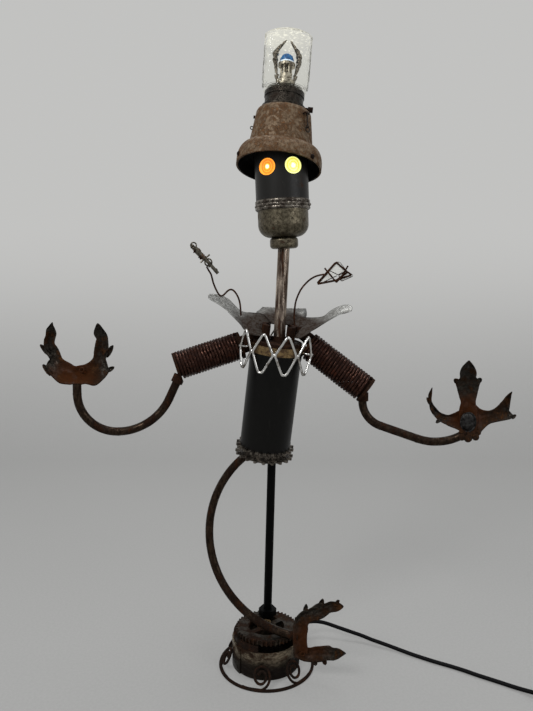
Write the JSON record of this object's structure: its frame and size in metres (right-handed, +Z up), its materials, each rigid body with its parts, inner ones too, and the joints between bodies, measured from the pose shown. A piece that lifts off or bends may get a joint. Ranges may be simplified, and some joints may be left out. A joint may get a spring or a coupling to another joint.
{
  "type": "desk lamp",
  "caption": "Robot shaped desk lamp built from scrap iron, with spring arms, leaf hands, glowing eyes, a brimmed hat and a jar shade on its head.",
  "frame": {"origin": "centre of the base ring, on the surface it stands on", "axes": "+Z up, +X to the figure's left-hand side as seen from its front (viewer's right), -Y towards the viewer"},
  "size_m": [0.844, 0.239, 0.9235],
  "materials": {
    "rusty_iron": "rusted",
    "leaf_iron": "rusted",
    "black_paint": "satin",
    "drum_steel": "weathered",
    "grey_steel": "weathered",
    "dark_steel": "worn",
    "spring_steel": "rusted",
    "hat_steel": "rusted",
    "brass": "worn",
    "chrome": "polished",
    "copper_wire": "tarnished",
    "glass": "clear",
    "amber_glass": "lit",
    "yellow_glass": "lit",
    "blue_glass": "gloss",
    "ceramic": "gloss",
    "black_rubber": "matte",
    "black_plastic": "matte",
    "red_plastic": "gloss"
  },
  "bodies": {
    "frame": {"base_ring": "rusty_iron", "base_scrolls": "rusty_iron", "base_drum": "drum_steel", "gear_seat": "dark_steel", "base_gear": "dark_steel", "gear_hub": "brass", "post": "black_paint", "post_nut": "dark_steel", "cord_gland": "black_rubber", "waist_sprocket_lower": "dark_steel", "waist_sprocket_upper": "dark_steel", "torso_tube": "black_paint", "torso_ring": "dark_steel", "brass_ring": "brass", "wire_band": "chrome", "collar_plate": "grey_steel", "neck_flange": "rusty_iron", "left_shoulder": "black_paint", "right_shoulder": "black_paint", "left_spring": "spring_steel", "right_spring": "spring_steel", "leg_rod": "rusty_iron", "foot": "leaf_iron", "neck_pipe": "rusty_iron", "neck_collar": "dark_steel", "chin_casting": "grey_steel", "head_weld": "dark_steel", "head_tube": "black_paint", "head_cap": "black_paint", "left_eye_lens": "amber_glass", "right_eye_lens": "yellow_glass", "eye_sockets": "dark_steel", "eye_bulbs": "glass", "hat": "hat_steel", "hat_bolts": "dark_steel", "hat_lugs": "dark_steel", "jar_collar": "dark_steel", "jar_socket": "ceramic", "jar_claws": "dark_steel", "blue_dome": "blue_glass", "left_antenna": "copper_wire", "right_antenna": "copper_wire", "left_charm": "chrome", "right_jewel": "glass", "wiring": "black_rubber", "cord": "black_rubber", "cord_coil": "black_rubber", "coil_tie": "black_plastic", "switch_body": "black_plastic", "plug": "black_plastic"},
    "left_arm": {"left_spring_cap": "dark_steel", "left_forearm": "rusty_iron", "left_hand": "leaf_iron"},
    "right_arm": {"right_spring_cap": "dark_steel", "right_forearm": "rusty_iron", "right_hand": "leaf_iron"},
    "jar": {"jar": "glass"},
    "hat_pin": {"hat_pin": "dark_steel"},
    "hat_ring": {"hat_ring": "dark_steel"},
    "rocker": {"switch_rocker": "red_plastic"}
  },
  "joints": [
    {"name": "left_shoulder_flex", "type": "hinge", "parent": "frame", "child": "left_arm", "pos_m": [-0.08409, -0.0026, 0.47147], "axis": [-0.165, 0.9863, 0], "range_deg": [-12, 12], "stiffness_Nm_per_rad": 25, "deforming": ["left_spring"]},
    {"name": "right_shoulder_flex", "type": "hinge", "parent": "frame", "child": "right_arm", "pos_m": [0.1034, -0.00081, 0.4537], "axis": [-0.165, -0.9863, 0], "range_deg": [-12, 12], "stiffness_Nm_per_rad": 25, "deforming": ["right_spring"]},
    {"name": "jar_lift", "type": "slide", "parent": "frame", "child": "jar", "axis": [0.0749, 0.0436, 0.9962], "range_m": [0, 0.085]},
    {"name": "hat_pin_swing", "type": "hinge", "parent": "frame", "child": "hat_pin", "pos_m": [0.05598, -0.02765, 0.80732], "axis": [-0.6885, -0.7187, 0.0978], "range_deg": [0, 70]},
    {"name": "hat_ring_swing", "type": "hinge", "parent": "hat_pin", "child": "hat_ring", "pos_m": [0.05613, -0.03036, 0.78851], "axis": [-0.6885, -0.7187, 0.0978], "range_deg": [0, 70]},
    {"name": "switch_rocker_tilt", "type": "hinge", "parent": "frame", "child": "rocker", "pos_m": [0.405, -0.1055, 0.0125], "axis": [0.6211, 0.7837, 0], "range_deg": [-16, 0]}
  ]
}
